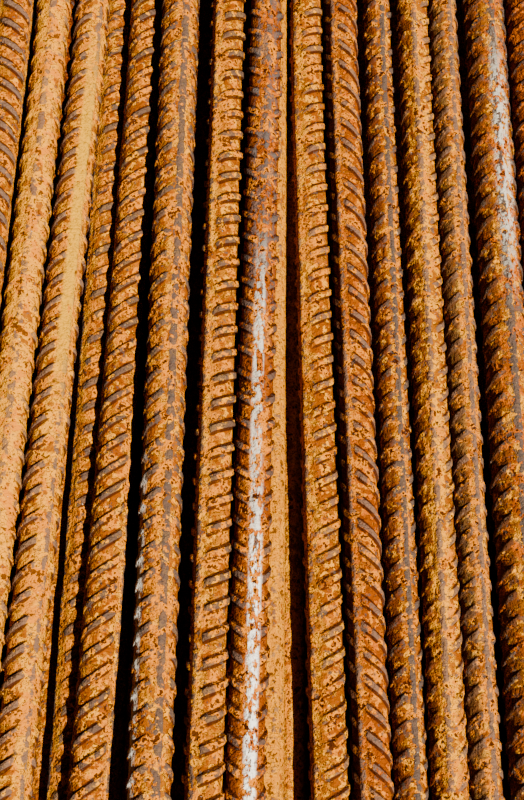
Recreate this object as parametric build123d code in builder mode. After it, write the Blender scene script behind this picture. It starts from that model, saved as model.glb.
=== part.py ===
import os
from math import acos, atan2, ceil, cos, degrees, hypot, radians, sin, sqrt

from build123d import *

# A tied bundle of ribbed reinforcing bars lying along Y on the floor z = 0: two full layers, and a
# third one over the left half.
# The bars' ribs are fine relief and aren't cut here: each bar has its nominal, equal-area diameter.

# Stock
stock_length = 3000.0
bar_d = 16.0
thin_bar_d = 14.0
thick_bar_d = 18.0
thickest_bar_d = 20.0
tie_wire_d = 6.0

# Clearance between a bar or wire and what it lies on
seat = 0.3

# The tie's two ends are twisted together, and the twist is pressed down between two middle bars
twist_bars = ("middle_bar_11", "middle_bar_12")
twist_radius = 3.6  # from the twist's middle to the middle of either end
twist_step = 60.0  # degrees from one corner of a twisted end to the next
twist_pitch = 42.0
twist_drop = 22.0  # the ends go down between the bars over this length
wire_step = 45.0  # largest bend, in degrees, at one corner of the wire

# Stations along the bundle, each way from its middle
bend_station = 190.0  # leaning bars change their lay between here and the same place beyond
tie_station = 900.0

# Middle layer from the left: diameter, and the gap before the bar at the near and at the far bend
middle_start = -141.0
middle_bars = [
    (bar_d, 0.0, 0.0),
    (bar_d, 3.0, 3.0),
    (bar_d, 2.0, 2.0),
    (bar_d, 7.8, 11.5),
    (bar_d, 15.2, 14.5),
    (bar_d, 0.5, 0.4),
    (bar_d, 0.5, 0.4),
    (bar_d, 3.2, 0.4),
    (bar_d, 11.1, 1.4),
    (bar_d, 2.0, 2.1),
    (thin_bar_d, 1.0, 4.0),
    (bar_d, 0.8, 3.5),
    (thin_bar_d, 0.6, 0.8),
    (thickest_bar_d, 2.1, 4.0),
    (bar_d, 0.7, 2.5),
    (bar_d, 0.5, 0.5),
]

# Top layer, which covers the left half: diameter, and how far each bar leans off the middle of its
# valley in the middle layer at the near and at the far bend
top_bars = [
    (bar_d, -4.2, 5.2),
    (bar_d, -4.9, 5.8),
    (bar_d, -8.1, 0.9),
    (bar_d, -5.4, 0.1),
    (thick_bar_d, -3.3, -5.2),
    (bar_d, 2.0, 2.3),
    (bar_d, 0.6, 5.2),
]

# How far each bar in turn lies pushed along the bundle
end_shifts = [0, 9, -6, 14, 3, -11, 6, -3, 12, -8, 4]

# Plan positions of the middle layer, and of the valleys between its bars, at both bends
station_y = [-bend_station, -bend_station / 3, bend_station / 3, bend_station]
middle_row = [(middle_start, middle_start)]
for (before, *_), (diameter, gap_near, gap_far) in zip(middle_bars, middle_bars[1:]):
    apart = (before + diameter) / 2
    near, far = middle_row[-1]
    middle_row.append((near + apart + gap_near, far + apart + gap_far))
valleys = []
for (left_near, left_far), (right_near, right_far) in zip(middle_row, middle_row[1:]):
    valleys.append(((left_near + right_near) / 2, (left_far + right_far) / 2))

# Every bar is laid in turn on those before it, and then lies still: x, z and diameter at each station
laid = [[] for station in station_y]
spines = {}


def rest_height(x, diameter, resting):
    """Height at which a bar comes to rest on the bars that lie there already."""
    height = tie_wire_d + seat + diameter / 2
    for other_x, other_z, other_d in resting:
        reach = (diameter + other_d) / 2 + seat
        if abs(x - other_x) < reach:
            height = max(height, other_z + sqrt(reach**2 - (x - other_x) ** 2))
    return height


def lay_bar(name, diameter, x_near, x_far):
    spine = []
    for resting, y in zip(laid, station_y):
        x = x_near + (x_far - x_near) * (y + bend_station) / (2 * bend_station)
        spine.append((x, y, rest_height(x, diameter, resting)))
    for resting, (x, y, z) in zip(laid, spine):
        resting.append((x, z, diameter))
    spines[name] = (diameter, spine)


# Lay the bottom bars straight under the valleys of the middle layer, then that layer and the top one
for number, (near, far) in enumerate(valleys, start=1):
    lay_bar(f"bottom_bar_{number:02d}", bar_d, (near + far) / 2, (near + far) / 2)
for number, ((diameter, *_), (near, far)) in enumerate(zip(middle_bars, middle_row), start=1):
    lay_bar(f"middle_bar_{number:02d}", diameter, near, far)
for number, ((diameter, lean_near, lean_far), (near, far)) in enumerate(zip(top_bars, valleys), start=1):
    lay_bar(f"top_bar_{number:02d}", diameter, near + lean_near, far + lean_far)

pieces = {}


def bar_route(spine, shift):
    """The spine with its straight ends, or those ends alone if the bar is straight."""
    near, far = spine[0], spine[-1]
    start = Vector(near[0], shift - stock_length / 2, near[2])
    end = Vector(far[0], shift + stock_length / 2, far[2])
    if near[0] == far[0]:
        return [start, end]
    return [start, *(Vector(*point) for point in spine), end]


# Bars
for order, (name, (diameter, spine)) in enumerate(spines.items()):
    route = bar_route(spine, end_shifts[order % len(end_shifts)])
    with BuildPart() as bar:
        for point in route:
            with BuildSketch(Plane(origin=point, z_dir=(0, 1, 0))):
                Circle(diameter / 2)
        loft(ruled=True)
    pieces[name] = bar.part


# Tie wires
def touched_in_turn(circles):
    """The circles that a taut loop round them all touches, anticlockwise from the right."""
    touched = []
    for angle in range(360):
        across, up = cos(radians(angle)), sin(radians(angle))
        outermost = max(circles, key=lambda c: c[0] * across + c[1] * up + c[2])
        if not touched or touched[-1] != outermost:
            touched.append(outermost)
    return touched[:-1] if touched[-1] == touched[0] else touched


def run_facing(circle, following):
    """Direction, in degrees, that the straight run from one circle to the next faces."""
    dx, dz = following[0] - circle[0], following[1] - circle[1]
    return degrees(atan2(dz, dx) - acos((circle[2] - following[2]) / hypot(dx, dz)))


def bend_corners(before, roll, after):
    """Corners of the wire's bend round one circle, on the lines tangent to it."""
    arrives = run_facing(before, roll)
    turn = (run_facing(roll, after) - arrives) % 360
    count = ceil(turn / wire_step)
    half = turn / count / 2
    angles = [radians(arrives + half * (2 * corner + 1)) for corner in range(count)]
    reach = roll[2] / cos(radians(half))
    return [(roll[0] + reach * cos(angle), roll[1] + reach * sin(angle)) for angle in angles]


def twisted_end(start_angle, top, tie_y, axis_x, axis_z):
    """Points of one end, from its bend down out of the loop to its tip."""
    points = [(top[0], tie_y, top[1])]
    for corner in range(round(360 / twist_step) + 1):
        angle = radians(start_angle + corner * twist_step)
        y = tie_y + twist_drop + corner * twist_pitch * twist_step / 360
        points.append((axis_x + twist_radius * cos(angle), y, axis_z + twist_radius * sin(angle)))
    return points


def tie_route(tie_y, station):
    """The wire's whole route, from the tip of one end round the bundle to the tip of the other."""
    rolls = {}
    for name, (diameter, spine) in spines.items():
        rolls[name] = (spine[station][0], spine[station][2], diameter / 2 + seat + tie_wire_d / 2)
    left, right = (rolls[name] for name in twist_bars)
    axis_x = (left[0] + left[2] + right[0] - right[2]) / 2
    axis_z = rest_height(axis_x, 2 * twist_radius + tie_wire_d, laid[station])
    touched = touched_in_turn(list(rolls.values()))
    runs = zip(touched, touched[1:])
    opened = next(i for i, (start, end) in enumerate(runs) if end[0] < axis_x < start[0])
    touched = touched[opened + 1:] + touched[:opened + 1]
    loop = []
    for before, roll, after in zip(touched[-1:] + touched, touched, touched[1:] + touched[:1]):
        loop += bend_corners(before, roll, after)
    tops = []
    for side in (-1, 1):
        x = axis_x + side * (twist_radius + 0.5)
        share = (x - loop[-1][0]) / (loop[0][0] - loop[-1][0])
        tops.append((x, loop[-1][1] + share * (loop[0][1] - loop[-1][1])))
    first_end = twisted_end(180, tops[0], tie_y, axis_x, axis_z)
    last_end = twisted_end(0, tops[1], tie_y, axis_x, axis_z)
    return first_end[::-1] + [(x, tie_y, z) for x, z in loop] + last_end


for name, tie_y, station in [("tie_wire_near", -tie_station, 0), ("tie_wire_far", tie_station, -1)]:
    route = [Vector(*point) for point in tie_route(tie_y, station)]
    with BuildPart() as tie:
        with BuildLine() as path:
            Polyline(*route)
        with BuildSketch(Plane(origin=route[0], z_dir=route[1] - route[0])):
            Circle(tie_wire_d / 2)
        sweep(path=path.line, transition=Transition.RIGHT)
    pieces[name] = tie.part

# The origin is the middle of the whole bundle's base
os.makedirs("parts", exist_ok=True)
boxes = [piece.bounding_box() for piece in pieces.values()]
middle_x = (min(box.min.X for box in boxes) + max(box.max.X for box in boxes)) / 2
middle_y = (min(box.min.Y for box in boxes) + max(box.max.Y for box in boxes)) / 2
for name, piece in pieces.items():
    placed = Pos(-middle_x, -middle_y, 0) * piece
    placed.label = name
    export_step(placed, f"parts/{name}.step")
print(f"plan offset of the origin {middle_x:.3f} {middle_y:.3f}")
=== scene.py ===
import math
from collections import namedtuple

import bpy
import numpy as np
from mathutils import Matrix, Vector


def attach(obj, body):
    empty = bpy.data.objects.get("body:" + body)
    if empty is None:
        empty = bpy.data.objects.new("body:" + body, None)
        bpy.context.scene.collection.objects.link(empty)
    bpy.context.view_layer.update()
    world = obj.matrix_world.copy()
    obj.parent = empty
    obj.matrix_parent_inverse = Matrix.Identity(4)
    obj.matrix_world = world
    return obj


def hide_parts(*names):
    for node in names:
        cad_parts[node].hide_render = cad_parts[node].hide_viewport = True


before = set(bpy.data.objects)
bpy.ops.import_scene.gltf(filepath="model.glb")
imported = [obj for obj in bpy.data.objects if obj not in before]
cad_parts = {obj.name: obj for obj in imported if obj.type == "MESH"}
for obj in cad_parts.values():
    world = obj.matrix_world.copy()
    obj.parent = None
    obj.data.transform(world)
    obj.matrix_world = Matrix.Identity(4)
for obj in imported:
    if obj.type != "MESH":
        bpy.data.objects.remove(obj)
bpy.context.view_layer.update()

# A bundle of rusted ribbed bars, tied round with wire. Lengths are in metres.

# Photograph's view
aim = Vector((-0.0046, -0.0015, 0.0430))
view_distance = 0.5
tilt = math.radians(17.7)  # off straight down
roll = math.radians(0.58)
lens_mm = 50.0

# Stretch of the bundle that the photograph shows, where the ribs are modelled finely
fine_near, fine_far = -0.19, 0.24
ribbed_end = 0.12  # the bottom layer's inner bars have ribs only this far from each end

# Ribs of every bar. Heights are shares of the nominal diameter
rib_pitch = 0.0112
core_share = 0.955  # core diameter over nominal diameter
rib_height_share = 0.072
long_rib_height_share = 0.05
long_rib_half_angle = 0.2  # radians

# Section of a slanting rib: from its middle to its foot, to its shoulder and to its flat top's edge
rib_foot, rib_shoulder, rib_top_edge = 0.0020, 0.0016, 0.0011
shoulder_height = 0.80  # over the rib's height
between_ribs = [0.0036, rib_pitch / 2, 0.0076]  # more stations, on the core

# How each bar lies and looks:
# - first_rib: angle of a lengthwise rib from the bar's top, to the right, in degrees
# - fade: how far from a lengthwise rib the slanting ribs fade out, in degrees
# - slope: of the slanting ribs, y over girth
# - same_way: whether both rows of ribs slant the same way
# - stands: how high the slanting ribs stand, over their usual height
Lay = namedtuple("Lay", "first_rib fade slope same_way stands finish")
lays = {
    "top_bar_01": Lay(-70, 28, 0.60, False, 0.8, "grey_lozenges"),
    "top_bar_02": Lay(8, 44, 0.70, False, 0.7, "smooth_yellow"),
    "top_bar_03": Lay(42, 32, 0.66, False, 1.0, "yellow_streak"),
    "middle_bar_04": Lay(110, 35, 0.50, False, 0.6, "grey_edge"),
    "top_bar_04": Lay(84, 26, 0.72, False, 0.8, "orange_red"),
    "top_bar_05": Lay(24, 26, 0.62, False, 0.6, "brown_grey"),
    "top_bar_06": Lay(140, 24, 0.40, False, 1.0, "orange"),
    "top_bar_07": Lay(-168, 28, 0.62, False, 1.0, "white_streak"),
    "middle_bar_08": Lay(30, 85, 0.50, False, 0.2, "plain_orange"),
    "middle_bar_09": Lay(132, 32, 0.52, False, 0.8, "crusty_orange"),
    "middle_bar_10": Lay(-36, 18, 0.80, True, 0.9, "red_rust"),
    "middle_bar_11": Lay(18, 22, -0.70, True, 0.65, "grey_bands"),
    "middle_bar_12": Lay(-4, 30, -0.70, True, 0.65, "yellow"),
    "middle_bar_13": Lay(22, 26, 0.70, False, 0.7, "green_valley"),
    "middle_bar_14": Lay(10, 32, 0.66, False, 0.7, "pale_patches"),
    # Its brown finish is painted shade, for the shadow of a bar beyond the right edge of the view
    "middle_bar_15": Lay(60, 30, 0.60, False, 0.9, "brown"),
}
other_finishes = ["orange", "brown", "crusty_orange", "brown_grey"]
# Bars seen only down the gaps between the top bars: their finish is painted shade, near black
painted_shade_gap_bars = [f"middle_bar_{number:02d}" for number in (3, 5, 6, 7)]
outer_bars = ["middle_bar_01", "middle_bar_16", "bottom_bar_01", "bottom_bar_15"]
chance_turn = 137  # degrees from one unseen bar's lengthwise rib to the next one's
chance_phase = 0.37  # of the rib pitch, from one bar's first rib to the next one's


def bar_lay(name, number):
    """A bar's lay from the list above, or one by chance if the photograph doesn't show it."""
    if name in lays:
        return lays[name]
    finish = "painted_gap_shade" if name in painted_shade_gap_bars else other_finishes[number % len(other_finishes)]
    first_rib = chance_turn * number % 360 - 180
    return Lay(first_rib, 30, 0.6, number % 3 == 0, 0.9, finish)


# Smooth random fields
lattice = 64


def lattice_noise(u, v, seed):
    """Value noise on a lattice of unit cells, from -1 to 1."""
    table = np.random.default_rng(seed).uniform(-1.0, 1.0, (lattice, lattice))
    iu, iv = np.floor(u).astype(int), np.floor(v).astype(int)
    fu, fv = u - iu, v - iv
    fu, fv = fu * fu * (3 - 2 * fu), fv * fv * (3 - 2 * fv)
    here_u, next_u = iu % lattice, (iu + 1) % lattice
    here_v, next_v = iv % lattice, (iv + 1) % lattice
    near = table[here_u, here_v] * (1 - fu) + table[next_u, here_v] * fu
    far = table[here_u, next_v] * (1 - fu) + table[next_u, next_v] * fu
    return near * (1 - fv) + far * fv


def smoothstep(low, high, x):
    """Rises smoothly from 0 at low to 1 at high."""
    t = np.clip((x - low) / (high - low), 0.0, 1.0)
    return t * t * (3 - 2 * t)


# The bars' centre lines, read from the frame
least_ring_gap = 0.002
line_step = 0.005
line_reach = 4  # steps each way over which a corner is rounded


def node_points(node):
    """Corners of a node's solid."""
    return np.array([v.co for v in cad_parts[node].data.vertices])


def centre_line(node):
    """Ring centres of a bar's solid in order along Y, and its diameter."""
    points = node_points(node)
    points = points[np.argsort(points[:, 1])]
    breaks = np.flatnonzero(np.diff(points[:, 1]) > least_ring_gap) + 1
    rings = np.split(points, breaks)
    middles = np.array([(ring.min(0) + ring.max(0)) / 2 for ring in rings])
    return middles, rings[0][:, 2].max() - rings[0][:, 2].min()


def smooth_line(middles):
    """Samples of the centre line in short steps, with its corners rounded."""
    y = np.arange(middles[0, 1], middles[-1, 1] + line_step / 2, line_step)
    window = np.ones(2 * line_reach + 1) / (2 * line_reach + 1)
    line = []
    for axis in (0, 2):
        values = np.interp(y, middles[:, 1], middles[:, axis])
        line.append(np.convolve(np.pad(values, line_reach, mode="edge"), window, mode="valid"))
    return y, line[0], line[1]


# Levels of detail
def even_ring(count):
    """Angles of evenly spaced points, from the bar's underside on."""
    return np.radians(np.arange(count) * 360 / count - 180)


# Each level: stations across a rib, from its middle, with the share of its height at each, and the
# angles of a ring's points from the bar's top. Every ring starts at the bar's underside.
upper_side = np.linspace(-100, 100, 27)
levels = {
    "fine": (
        [(-rib_foot, 0.0), (-rib_shoulder, shoulder_height), (-rib_top_edge, 1.0), (0.0, 1.0),
         (rib_top_edge, 1.0), (rib_shoulder, shoulder_height), (rib_foot, 0.0),
         *((station, 0.0) for station in between_ribs)],
        np.radians([-180, -155, -130, -112, *upper_side, 112, 130, 155]),
    ),
    "coarse": ([(-rib_foot, 0.0), (0.0, 1.0), (rib_foot, 0.0)], even_ring(14)),
    "rough": ([(0.0, 1.0), (rib_pitch / 2, 0.0)], even_ring(12)),
    "plain": ([], even_ring(12)),
}
least_row = 0.0005  # the last rib's rows end this far before the stretch does
stretch_gap = 0.0003  # from a stretch's last row to the next stretch


def stretches(node, start, end):
    """A bar's stretches: where each ends, and its level of detail."""
    if node in lays:
        return [(fine_near, "coarse"), (fine_far, "fine"), (end, "coarse")]
    if node in outer_bars:
        return [(end, "coarse")]
    if node.startswith("middle"):
        return [(end, "rough")]
    return [(start + ribbed_end, "coarse"), (end - ribbed_end, "plain"), (end, "coarse")]


def rows_along(level, start, end, phase):
    """Places of a stretch's rows, before the ribs' slant, and the share of rib height at each."""
    rows = [(start, 0.0)]
    first = math.ceil((start - phase) / rib_pitch)
    last = math.floor((end - phase) / rib_pitch)
    for rib in range(first, last + 1):
        rows += [(phase + rib * rib_pitch + offset, height) for offset, height in levels[level][0]]
    rows = [row for row in rows if start <= row[0] < end - least_row]
    return np.array(rows + [(end - stretch_gap, 0.0)]).T


# Where ribs begin and end round the bar, as shares of their fade or of a long rib's half angle
fade_from, fade_to = 0.5, 1.7
flank_from, flank_to = 1.4, 0.45
settle_reach = 0.03  # rows turn square to the bar over this length at its ends

# Wear: size of its cells along the bar, and how deep it goes
wear_cell, fine_wear_cell, lump_cell = 0.009, 0.0034, 0.0021
wear_depth, lump_depth = 0.00020, 0.00012
rib_wear, rib_lump, long_rib_wear = 0.20, 0.10, 0.3  # shares of a rib's height

# Painted shade at a rib's foot: how far it lies from the rib's middle, and how far it spreads
foot_shade_from_middle, foot_shade_reach = 0.0021, 0.0010

Bar = namedtuple("Bar", "number diameter line lay start end")


def worn(bar, y, angles):
    """Two fields of wear over a bar's surface: one of middling size, and one of small lumps."""
    # The bar's number moves its place in the noise, so that no two bars wear alike
    turn = angles * 1.6 + 7.0
    wear = 0.6 * lattice_noise(y / wear_cell + 40 * bar.number, turn, 11)
    wear = wear + 0.4 * lattice_noise(y / fine_wear_cell + 40 * bar.number, turn * 2.3, 12)
    return wear, lattice_noise(y / lump_cell + 11 * bar.number, angles * 5.1 + 3.0, 13)


def stretch_surface(bar, level, start, end):
    """Points and fields of one stretch of a ribbed bar, on a grid of rows and angles."""
    line_y, line_x, line_z = bar.line
    angles = levels[level][1]
    phase = (chance_phase * bar.number % 1.0) * rib_pitch
    places, heights = rows_along(level, start, end, phase)
    core = bar.diameter / 2 * core_share
    from_rib = np.angle(np.exp(1j * (angles - math.radians(bar.lay.first_rib))))
    away = np.abs(from_rib)
    near_long = np.minimum(away, np.pi - away)

    # Rows follow the ribs' slant
    slope = bar.lay.slope
    slant = -slope * core * from_rib if bar.lay.same_way else slope * core * (np.pi / 2 - away)
    settle = np.clip(np.minimum(places - bar.start, bar.end - places) / settle_reach, 0.0, 1.0)
    y = places[:, None] + settle[:, None] * slant[None, :]

    # Relief
    fade = math.radians(bar.lay.fade)
    zone = smoothstep(fade * fade_from, fade * fade_to, near_long)
    flank = long_rib_half_angle * flank_to, long_rib_half_angle * flank_from
    long_rib = 1.0 - smoothstep(*flank, near_long)
    wear, lump = worn(bar, y, angles[None, :])
    rib_top = bar.diameter * rib_height_share * bar.lay.stands
    rib = heights[:, None] * zone[None, :] * (1.0 + rib_wear * wear + rib_lump * lump)
    along = bar.diameter * long_rib_height_share * long_rib[None, :] * (1.0 + long_rib_wear * wear)
    radius = core + np.maximum(rib_top * rib, along) + wear_depth * wear + lump_depth * lump
    x = np.interp(y, line_y, line_x) + radius * np.sin(angles)[None, :]
    z = np.interp(y, line_y, line_z) + radius * np.cos(angles)[None, :]

    # Fields that the materials read
    # The line of painted shade along each rib's foot, as strong as the rib stands high
    from_middle = np.abs((places - phase + rib_pitch / 2) % rib_pitch - rib_pitch / 2)
    at_foot = np.clip(1.0 - np.abs(from_middle - foot_shade_from_middle) / foot_shade_reach, 0.0, 1.0)
    fields = {
        "foot": at_foot[:, None] * zone[None, :] * bar.lay.stands,
        "crest": np.clip(np.maximum(rib, 0.8 * along / rib_top), 0.0, 1.2),
        "zone": np.broadcast_to(zone[None, :], y.shape),
        "turned": np.broadcast_to(angles[None, :] / np.pi, y.shape),
    }
    return np.stack([x, y, z], axis=2), fields


def bridge(first, second, first_angles, second_angles):
    """Triangles between two rings that have their own numbers of points."""
    faces, i, j = [], 0, 0
    count, other = len(first), len(second)
    first_angles = np.append(first_angles, np.pi)
    second_angles = np.append(second_angles, np.pi)
    while i < count or j < other:
        if j == other or (i < count and first_angles[i + 1] <= second_angles[j + 1]):
            faces.append([first[i], second[j % other], first[(i + 1) % count]])
            i += 1
        else:
            faces.append([first[i % count], second[j], second[(j + 1) % other]])
            j += 1
    return faces


# Cut ends have a slight bevel: the end ring's and the face's size over the bar's, and its depth
end_ring_share, end_face_share, bevel_depth = 0.985, 0.93, 0.0002


def close_end(verts, faces, ring, out):
    """Bevels and closes a bar's end at the given ring. out is the end's direction along Y."""
    count = len(ring)
    middle = verts[ring].mean(0)
    inner = middle + (verts[ring] - middle) * end_face_share
    inner[:, 1] = middle[1] + out * bevel_depth
    verts[ring] = middle + (verts[ring] - middle) * end_ring_share
    first_inner, centre = len(verts), len(verts) + count
    for a in range(count):
        b = (a + 1) % count
        edge, rim = [ring[a], ring[b]], [first_inner + b, first_inner + a]
        if out > 0:
            edge, rim = edge[::-1], rim[::-1]
        faces.append([*edge, *rim])
        faces.append([rim[1], rim[0], centre])
    return np.vstack([verts, inner, middle + np.array([0, out * bevel_depth, 0])])


def bar_mesh(node, number):
    """One closed mesh for a ribbed bar."""
    middles, diameter = centre_line(node)
    start, end = middles[0, 1], middles[-1, 1]
    bar = Bar(number, diameter, smooth_line(middles), bar_lay(node, number), start, end)
    verts, faces, rings = [], [], []
    parts = {"foot": [], "crest": [], "zone": [], "turned": []}
    total, at = 0, start
    for stop, level in stretches(node, start, end):
        points, fields = stretch_surface(bar, level, at, stop)
        rows, columns = points.shape[:2]
        i = total + np.arange(rows - 1)[:, None] * columns
        j = np.arange(columns)[None, :]
        k = (j + 1) % columns
        quads = np.stack([i + j, i + columns + j, i + columns + k, i + k], axis=2)
        faces += quads.reshape(-1, 4).tolist()
        first = total + np.arange(columns)
        rings.append((first, first + (rows - 1) * columns, level))
        verts.append(points.reshape(-1, 3))
        for label, field in fields.items():
            parts[label].append(field.reshape(-1))
        total += rows * columns
        at = stop
    for (_, last, level), (first, _, next_level) in zip(rings, rings[1:]):
        faces += bridge(last.tolist(), first.tolist(), levels[level][1], levels[next_level][1])
    verts = np.vstack(verts)
    verts = close_end(verts, faces, rings[0][0], -1)
    verts = close_end(verts, faces, rings[-1][1], 1)
    mesh = bpy.data.meshes.new(node + "_ribbed")
    faces = [[int(corner) for corner in face] for face in faces]
    mesh.from_pydata(verts.tolist(), [], faces)
    added = len(verts) - total
    fields = {label: np.concatenate([*found, np.zeros(added)]) for label, found in parts.items()}
    fields["cut"] = np.concatenate([np.zeros(total), np.ones(added)])
    for label, field in fields.items():
        attribute = mesh.attributes.new(label, "FLOAT", "POINT")
        attribute.data.foreach_set("value", field.astype(np.float32))
    mesh.polygons.foreach_set("use_smooth", np.ones(len(mesh.polygons), bool))
    mesh.update()
    return mesh


# Materials
noise_middle, noise_width = 0.5, 0.18  # where a noise field's values gather, and how widely


class Nodes:
    """Adds shader nodes to a material with few words."""

    def __init__(self, material):
        material.use_nodes = True
        self.tree = material.node_tree
        self.shader = self.tree.nodes["Principled BSDF"]

    def feed(self, socket, value):
        if isinstance(value, bpy.types.NodeSocket):
            self.tree.links.new(value, socket)
        else:
            socket.default_value = value

    def add(self, kind, settings=None, **inputs):
        """A node with its inputs set or linked, by name or, as i0, by number."""
        made = self.tree.nodes.new(kind)
        for key, value in (settings or {}).items():
            setattr(made, key, value)
        for key, value in inputs.items():
            numbered = key.startswith("i") and key[1:].isdigit()
            self.feed(made.inputs[int(key[1:]) if numbered else key.replace("_", " ")], value)
        return made

    def math(self, operation, first, second=0.0, clamp=False):
        settings = {"operation": operation, "use_clamp": clamp}
        return self.add("ShaderNodeMath", settings, i0=first, i1=second).outputs[0]

    def times(self, first, second, clamp=False):
        return self.math("MULTIPLY", first, second, clamp)

    def rest(self, share):
        """What a share leaves of one."""
        return self.math("SUBTRACT", 1.0, share)

    def shifted(self, place, far, turn=0.0, stretch=1.0):
        """Places moved aside, turned about Z and drawn out along their own Y."""
        made = self.add("ShaderNodeMapping", Vector=place, Location=(far, far, 0.0),
                        Rotation=(0.0, 0.0, turn), Scale=(1.0, 1.0 / stretch, 1.0))
        return made.outputs["Vector"]

    def noise(self, place, scale, detail=3.0, roughness=0.6):
        """A noise field with so many features a metre."""
        made = self.add("ShaderNodeTexNoise", Vector=place, Scale=scale, Detail=detail,
                        Roughness=roughness)
        return made.outputs["Fac"]

    def mixed(self, first, share, second):
        """Two fields added in the given shares."""
        return self.math("ADD", self.times(first, share), self.times(second, 1.0 - share))

    def spread(self, field, share, softness):
        """A mask that covers about the given share of a noise field."""
        limit = noise_middle + noise_width * (0.5 - share)
        return self.ramp(field, limit - softness / 2, limit + softness / 2)

    def ramp(self, value, low, high):
        """Rises smoothly from 0 at low to 1 at high."""
        settings = {"interpolation_type": "SMOOTHSTEP"}
        made = self.add("ShaderNodeMapRange", settings, Value=value, i1=low, i2=high)
        return made.outputs["Result"]

    def blend(self, share, first, second):
        """The first colour with the given share of the second over it."""
        first, second = ((*c, 1.0) if isinstance(c, tuple) else c for c in (first, second))
        made = self.add("ShaderNodeMix", {"data_type": "RGBA"}, i0=share, i6=first, i7=second)
        return made.outputs[2]

    def attribute(self, name):
        return self.add("ShaderNodeAttribute", {"attribute_name": name}).outputs["Fac"]

    def place(self):
        return self.add("ShaderNodeTexCoord").outputs["Object"]

    def finish(self, colour, height, roughness, specular, strength, distance):
        """Links the colour and the bump to the shader, and sets its gloss."""
        self.feed(self.shader.inputs["Base Color"], colour)
        self.shader.inputs["Roughness"].default_value = roughness
        self.shader.inputs["Specular IOR Level"].default_value = specular
        bump = self.add("ShaderNodeBump", Strength=strength, Distance=distance, Height=height)
        self.feed(self.shader.inputs["Normal"], bump.outputs["Normal"])


# Colours of rust, scale, dirt and paint, and of painted shade
orange = (0.280, 0.080, 0.0)
yellow = (0.320, 0.118, 0.0)
bright = (0.340, 0.138, 0.0)
red_orange = (0.200, 0.042, 0.0)
burnt = (0.085, 0.015, 0.0)
red_brown = (0.050, 0.010, 0.001)
dark_brown = (0.020, 0.004, 0.001)
mauve_grey = (0.066, 0.036, 0.022)
slate = (0.034, 0.024, 0.018)
pale = (0.28, 0.235, 0.175)
green_grey = (0.045, 0.038, 0.016)
even_orange = (0.24, 0.078, 0.0)
even_yellow = (0.27, 0.096, 0.0)
even_bright = (0.29, 0.110, 0.0)
yellow_paint = (0.27, 0.125, 0.0)
white_paint = (0.42, 0.38, 0.31)
worn_paint = (0.28, 0.24, 0.18)
cement = (0.26, 0.23, 0.18)
pale_scale = (0.27, 0.235, 0.175)
grey_scale = (0.040, 0.032, 0.028)
# Painted shade for the bars' left flanks, away from the key light
painted_shade_olive = (0.040, 0.016, 0.005)
painted_shade_brown = (0.030, 0.009, 0.003)
painted_shade_deep_brown = (0.045, 0.012, 0.002)
wire_scale = (0.022, 0.014, 0.010)
wire_rust = (0.13, 0.036, 0.004)

# What a finish is unless it says otherwise. Shares run from none (0) to all over (1).
usual = {
    "main": orange, "second": yellow, "second_share": 0.5, "bright": bright,
    "crust_share": 0.35, "crest": mauve_grey, "crest_share": 0.7,
    "valley": burnt, "valley_share": 0.5, "speck_share": 0.1, "scale_share": 0.12,
}
finishes = {
    "orange": {"crest_share": 0.50, "crest": slate},
    "smooth_yellow": {"second_share": 0.70, "crust_share": 0.2, "crest_share": 0.45,
                      "valley_share": 0.3, "scale_share": 0.0},
    "crusty_orange": {"second_share": 0.55, "crust_share": 0.50, "crest_share": 0.35,
                      "valley_share": 0.55},
    "orange_red": {"crust_share": 0.45, "crest": slate, "crest_share": 0.55},
    "yellow": {"second_share": 0.75, "crust_share": 0.45, "crest_share": 0.6,
               "speck_share": 0.25, "scale_share": 0.2},
    "yellow_streak": {"crust_share": 0.2, "crest_share": 0.75, "valley_share": 0.3,
                      "scale_share": 0.0},
    "white_streak": {"second": red_orange, "crust_share": 0.6, "crest": slate,
                     "crest_share": 0.55, "valley": red_brown, "valley_share": 0.7,
                     "speck_share": 0.2},
    "grey_lozenges": {"second_share": 0.35, "crest_share": 0.9},
    "grey_edge": {"second_share": 0.4, "crest": slate, "crest_share": 0.6},
    "brown_grey": {"second_share": 0.4, "crust_share": 0.45, "crest": slate,
                   "crest_share": 0.65, "speck_share": 0.3, "scale_share": 0.25},
    "plain_orange": {"main": even_orange, "second": even_yellow, "bright": even_bright,
                     "crust_share": 0.15, "crest_share": 0.1, "valley_share": 0.0,
                     "scale_share": 0.0},
    "red_rust": {"second": red_orange, "crust_share": 0.45, "crest_share": 0.65},
    "grey_bands": {"second_share": 0.4, "crust_share": 0.55, "crest": slate,
                   "crest_share": 0.8, "speck_share": 0.25, "scale_share": 0.4},
    "green_valley": {"second_share": 0.35, "crust_share": 0.5, "crest_share": 0.8,
                     "valley": green_grey, "valley_share": 0.7, "speck_share": 0.3,
                     "scale_share": 0.35},
    "pale_patches": {"main": red_orange, "crust_share": 0.5, "crest": slate,
                     "crest_share": 0.8, "valley": red_orange, "speck_share": 0.4,
                     "scale_share": 0.5},
    # On middle_bar_15 this finish is painted shade; on the unseen bars it is their own tone
    "brown": {"main": red_orange, "second": red_brown, "bright": orange, "crest": slate,
              "crest_share": 0.4},
    # Painted shade: a near-black finish for the bars down in the gaps
    "painted_gap_shade": {"main": burnt, "second": red_brown, "bright": burnt, "crust_share": 0.6,
               "crest": dark_brown},
}

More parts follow.
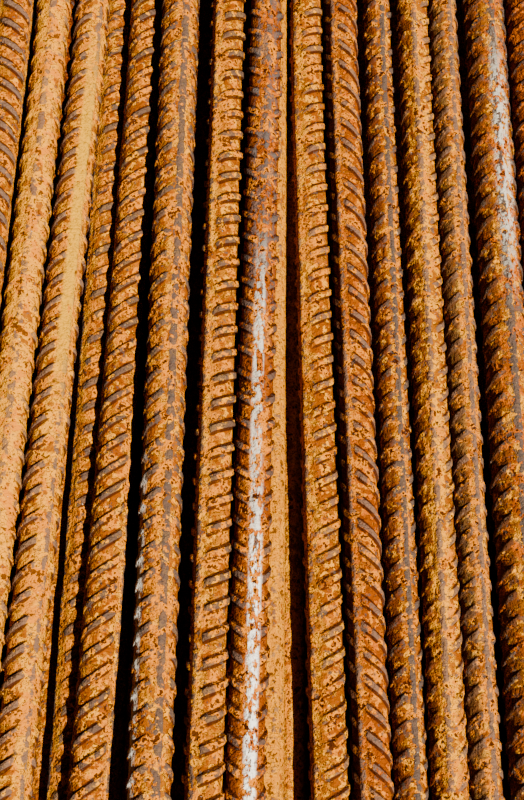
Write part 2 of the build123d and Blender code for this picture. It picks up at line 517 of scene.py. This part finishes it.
# Bands of another colour along a bar: its middle round the bar (0 is the top, 0.5 the right side),
# half its width there, where it begins and ends along the bundle, and how broken up it is.
Band = namedtuple("Band", "middle half near far colour share broken")
bands = {
    "yellow_streak": [Band(0.16, 0.15, 0.01, 0.17, yellow_paint, 0.9, 0.2)],
    "white_streak": [Band(0.05, 0.40, 0.03, 0.30, grey_scale, 0.75, 1.15),
                     Band(0.08, 0.15, -0.22, -0.05, white_paint, 1.0, 1.05),
                     Band(0.03, 0.13, -0.05, 0.06, worn_paint, 0.9, 1.0)],
    "brown_grey": [Band(-0.34, 0.14, -0.20, -0.04, cement, 0.8, 0.9)],
    # The dark bands near -0.3 to -0.42, on the left flank away from the key light, are painted
    # shade: the first band here and those of red_rust, grey_bands, yellow and green_valley
    "pale_patches": [Band(-0.30, 0.30, -0.30, 0.30, painted_shade_deep_brown, 0.8, 0.9),
                     Band(0.12, 0.20, 0.07, 0.18, pale_scale, 0.8, 1.0)],
    "red_rust": [Band(-0.42, 0.24, -0.30, 0.30, painted_shade_brown, 0.8, 0.0)],
    "grey_bands": [Band(-0.29, 0.30, -0.30, 0.30, red_brown, 0.85, 0.9)],
    "yellow": [Band(-0.30, 0.30, -0.30, 0.30, red_brown, 0.85, 0.95)],
    "green_valley": [Band(-0.28, 0.30, -0.30, 0.30, painted_shade_olive, 0.8, 0.9)],
}
band_end = 0.03  # a band fades in and out over this length each way
band_edge = 0.45  # of its half width, where it begins to fade sideways
drag_turn = math.radians(-50)  # its paint is dragged along this direction
seed_step = 0.173  # how far apart two bars' noise is taken


def banded(nodes, band, colour, middling, crust):
    """The colour with one band over it."""
    off = nodes.math("ABSOLUTE", nodes.math("SUBTRACT", nodes.attribute("turned"), band.middle))
    across = nodes.rest(nodes.ramp(off, band.half * band_edge, band.half))
    place = nodes.place()
    y = nodes.add("ShaderNodeSeparateXYZ", Vector=place).outputs["Y"]
    begins = nodes.ramp(y, band.near - band_end, band.near + band_end)
    ends = nodes.rest(nodes.ramp(y, band.far - band_end, band.far + band_end))
    mask = nodes.times(across, nodes.times(begins, ends))
    dragged = nodes.noise(nodes.shifted(place, 1.3, drag_turn, 3.0), 420.0, 4.0, 0.7)
    flakes = nodes.mixed(nodes.mixed(middling, 0.3, crust), 0.5, dragged)
    patchy = nodes.ramp(flakes, 0.36 + 0.12 * band.broken, 0.41 + 0.11 * band.broken)
    return nodes.blend(nodes.times(nodes.times(mask, patchy), band.share), colour, band.colour)


def rust(name, seed):
    """Dry rust: two shades in patches, crust, grey scale on the ribs and dirt between them, with
    painted light and shade: brighter raised relief, darker hollows, a dark line at each rib's foot
    and dark bands on the left flank.
    """
    look = {**usual, **finishes[name]}
    material = bpy.data.materials.new(f"rust_{name}_{seed}")
    nodes = Nodes(material)
    place = nodes.shifted(nodes.place(), seed * seed_step)
    crest = nodes.attribute("crest")
    broad = nodes.noise(place, 70.0)
    middling = nodes.noise(place, 170.0, 3.0, 0.55)
    crust = nodes.noise(place, 320.0, 3.0, 0.55)
    grains = nodes.noise(place, 800.0, 2.0, 0.55)
    rough = nodes.mixed(crust, 0.5, middling)
    relief = nodes.mixed(rough, 0.72, grains)

    # Two shades in patches, and brighter rust on what stands up: fresh rust and a painted highlight
    # on the raised relief
    patches = nodes.spread(nodes.mixed(broad, 0.4, middling), look["second_share"], 0.02)
    colour = nodes.blend(patches, look["main"], look["second"])
    fresh_rust_and_highlight = nodes.times(nodes.ramp(relief, 0.52, 0.56), 0.4)
    colour = nodes.blend(fresh_rust_and_highlight, colour, look["bright"])

    # Between the ribs
    low = nodes.times(nodes.rest(nodes.ramp(crest, 0.05, 0.45)), nodes.attribute("zone"))
    stained = nodes.times(low, nodes.spread(rough, look["valley_share"], 0.03))
    colour = nodes.blend(nodes.times(stained, 0.7), colour, look["valley"])

    # Red-brown crust with dark cracks, and dark pits where the relief is lowest: real pits and
    # painted shade in its hollows
    crusted = nodes.spread(nodes.mixed(crust, 0.6, broad), look["crust_share"] - 0.10, 0.012)
    colour = nodes.blend(nodes.times(crusted, 0.8), colour, burnt)
    seam = nodes.math("ABSOLUTE", nodes.math("SUBTRACT", crust, 0.47))
    seam = nodes.rest(nodes.ramp(seam, 0.006, 0.020))
    cracks = nodes.times(seam, nodes.ramp(middling, 0.47, 0.52))
    pits_and_shade = nodes.rest(nodes.ramp(relief, 0.420, 0.432))
    cracks_and_pit_shade = nodes.math("MAXIMUM", pits_and_shade, cracks)
    darkened = nodes.times(cracks_and_pit_shade, 0.78 + 0.4 * look["crust_share"], clamp=True)
    colour = nodes.blend(darkened, colour, dark_brown)

    # Grey scale left on the ribs, with rust breaking through
    jagged = nodes.math("ADD", crest, nodes.times(nodes.math("SUBTRACT", crust, 0.5), 2.2))
    kept = nodes.spread(rough, look["crest_share"], 0.02)
    rubbed = nodes.times(nodes.ramp(jagged, 0.47, 0.52), kept)
    rubbed = nodes.times(rubbed, 0.7 + 0.3 * look["crest_share"])
    colour = nodes.blend(rubbed, colour, look["crest"])

    # A painted line of shade along each rib's foot
    line = nodes.ramp(nodes.attribute("foot"), 0.18, 0.45)
    line = nodes.times(line, nodes.ramp(rough, 0.40, 0.45))
    colour = nodes.blend(nodes.times(line, 0.92), colour, dark_brown)

    # Flakes of grey scale anywhere, and pale specks of cement and dust
    flakes = nodes.noise(nodes.shifted(place, 3.7), 330.0)
    flakes = nodes.spread(flakes, look["scale_share"] - 0.40, 0.025)
    colour = nodes.blend(nodes.times(flakes, 0.8), colour, slate)
    tip = 0.74 - 0.06 * look["speck_share"]
    specks = nodes.ramp(nodes.noise(place, 900.0, 2.0, 0.5), tip, tip + 0.04)
    colour = nodes.blend(nodes.times(specks, 0.8), colour, pale)

    for band in bands.get(name, []):
        colour = banded(nodes, band, colour, middling, crust)
    colour = nodes.blend(nodes.times(nodes.attribute("cut"), 0.6), colour, dark_brown)
    height = nodes.math("SUBTRACT", relief, nodes.times(cracks_and_pit_shade, 0.05))
    nodes.finish(colour, height, roughness=0.85, specular=0.0, strength=1.0, distance=0.0038)
    return material


def wire_finish():
    """The tie wires' dark scale, going over to rust."""
    material = bpy.data.materials.new("tie_wire_rust")
    nodes = Nodes(material)
    place = nodes.place()
    rusted = nodes.ramp(nodes.noise(place, 260.0, 4.0, 0.65), 0.42, 0.62)
    colour = nodes.blend(rusted, wire_scale, wire_rust)
    height = nodes.noise(place, 700.0)
    nodes.finish(colour, height, roughness=0.7, specular=0.15, strength=0.5, distance=0.0004)
    return material


# Tie wires, laid taut round the bars like their solids but with round bends
wire_d = 0.006
wire_gap = 0.0003  # between the wire and a bar's nominal diameter
twist_radius = 0.0036  # from the twist's middle to the middle of either end
twist_drop = 0.022  # the ends go down between the bars over this length
twist_pitch = 0.042
twist_steps = 24
ends_apart = 0.0005  # each way, more than the twist's radius
bend_reach = 0.007
bend_share = 0.45  # most of a straight run that the bend at either end of it takes up
sharp_bend = math.radians(20)
loop_step = 5  # degrees


def rounded(points, reach):
    """The route with each sharp corner replaced by a short curve."""
    points = [Vector(point) for point in points]
    route = [points[0]]
    for before, corner, after in zip(points, points[1:], points[2:]):
        back, on = before - corner, after - corner
        if back.angle(-on) < sharp_bend:
            route.append(corner)
            continue
        start = corner + back.normalized() * min(reach, back.length * bend_share)
        end = corner + on.normalized() * min(reach, on.length * bend_share)
        for t in (0.0, 0.25, 0.5, 0.75, 1.0):
            route.append(start.lerp(corner, t).lerp(corner.lerp(end, t), t))
    return [*route, points[-1]]


def taut_loop(tie_y):
    """Points of a taut loop round all bars, anticlockwise from the right."""
    circles = []
    for bar in bars:
        middles, diameter = centre_line(bar)
        x, z = (np.interp(tie_y, middles[:, 1], middles[:, axis]) for axis in (0, 2))
        circles.append((x, z, diameter / 2 + wire_gap + wire_d / 2))
    loop = []
    for angle in np.radians(np.arange(0, 360, loop_step)):
        across, up = math.cos(angle), math.sin(angle)
        x, z, reach = max(circles, key=lambda c: c[0] * across + c[1] * up + c[2])
        loop.append((x + reach * across, z + reach * up))
    return loop


def tie_points(node):
    """The wire's route: one twisted end, once round the bundle, and the other twisted end."""
    points = node_points(node)
    tie_y = points[:, 1].min() + wire_d / 2
    twist = points[points[:, 1] > tie_y + twist_drop]
    axis_x, axis_z = ((twist[:, axis].min() + twist[:, axis].max()) / 2 for axis in (0, 2))
    loop = taut_loop(tie_y)
    runs = enumerate(zip(loop, loop[1:]))
    opened = next(i for i, (a, b) in runs if b[0] < axis_x < a[0])
    before, after = loop[opened], loop[opened + 1]
    loop = loop[opened + 1:] + loop[:opened + 1]
    ends = []
    for side, start_angle in ((-1, math.pi), (1, 0.0)):
        x = axis_x + side * (twist_radius + ends_apart)
        share = (x - before[0]) / (after[0] - before[0])
        end = [(x, tie_y, before[1] + share * (after[1] - before[1]))]
        for step in range(twist_steps + 1):
            angle = start_angle + step * math.tau / twist_steps
            y = tie_y + twist_drop + step * twist_pitch / twist_steps
            end.append((axis_x + twist_radius * math.cos(angle), y,
                        axis_z + twist_radius * math.sin(angle)))
        ends.append(end)
    return ends[0][::-1] + [(x, tie_y, z) for x, z in loop] + ends[1]


# Build every bar
link = bpy.context.scene.collection.objects.link
bars = sorted(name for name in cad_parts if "_bar_" in name)
triangles = []
for number, node in enumerate(bars, start=1):
    mesh = bar_mesh(node, number)
    mesh.materials.append(rust(bar_lay(node, number).finish, number))
    triangles.append(sum(len(polygon.vertices) - 2 for polygon in mesh.polygons))
    piece = bpy.data.objects.new(node + "_ribbed", mesh)
    link(piece)
    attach(piece, "root")
    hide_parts(node)

# Build the ties
wire_material = wire_finish()
for node in ("tie_wire_near", "tie_wire_far"):
    route = rounded(tie_points(node), bend_reach)
    curve = bpy.data.curves.new(node + "_bent", "CURVE")
    curve.dimensions = "3D"
    curve.bevel_depth = wire_d / 2
    curve.bevel_resolution = 2
    curve.use_fill_caps = True
    spline = curve.splines.new("POLY")
    spline.points.add(len(route) - 1)
    spline.points.foreach_set("co", [value for point in route for value in (*point, 1.0)])
    curve.materials.append(wire_material)
    piece = bpy.data.objects.new(node + "_bent", curve)
    link(piece)
    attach(piece, "root")
    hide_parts(node)

# Floor
floor_reach = 12.0
corners = [(x * floor_reach, y * floor_reach, 0) for x, y in ((-1, -1), (1, -1), (1, 1), (-1, 1))]
floor_mesh = bpy.data.meshes.new("floor")
floor_mesh.from_pydata(corners, [], [(0, 1, 2, 3)])
floor = bpy.data.objects.new("floor", floor_mesh)
link(floor)
pale_floor = bpy.data.materials.new("pale_floor")
pale_floor.use_nodes = True
floor_shader = pale_floor.node_tree.nodes["Principled BSDF"]
floor_shader.inputs["Base Color"].default_value = (0.36, 0.355, 0.345, 1)
floor_shader.inputs["Roughness"].default_value = 0.9
floor_mesh.materials.append(pale_floor)

# Light
world = bpy.data.worlds.new("studio")
bpy.context.scene.world = world
world.use_nodes = True
background = world.node_tree.nodes["Background"]
background.inputs["Color"].default_value = (0.95, 0.97, 1.0, 1)
background.inputs["Strength"].default_value = 0.04
key = bpy.data.lights.new("key", "SUN")
key.energy = 27.5
key.angle = math.radians(1.0)
key.color = (1.0, 0.96, 0.90)
key_object = bpy.data.objects.new("key", key)
to_light = Vector((0.50, -0.34, 0.80))
key_object.rotation_euler = to_light.to_track_quat("Z", "Y").to_euler()
link(key_object)

# Camera
forward = Vector((0, math.sin(tilt), -math.cos(tilt)))
straight_up = Vector((0, math.cos(tilt), math.sin(tilt)))
right = math.cos(roll) * Vector((1, 0, 0)) + math.sin(roll) * straight_up
up = math.cos(roll) * straight_up - math.sin(roll) * Vector((1, 0, 0))
turned = Matrix((right, up, -forward)).transposed().to_4x4()
camera_data = bpy.data.cameras.new("camera")
camera_data.lens = lens_mm
camera_data.clip_start = 0.01
camera_data.clip_end = 50
camera = bpy.data.objects.new("camera", camera_data)
camera.matrix_world = Matrix.Translation(aim - forward * view_distance) @ turned
link(camera)
bpy.context.scene.camera = camera

print("triangles", sum(triangles), "most in one", max(triangles))
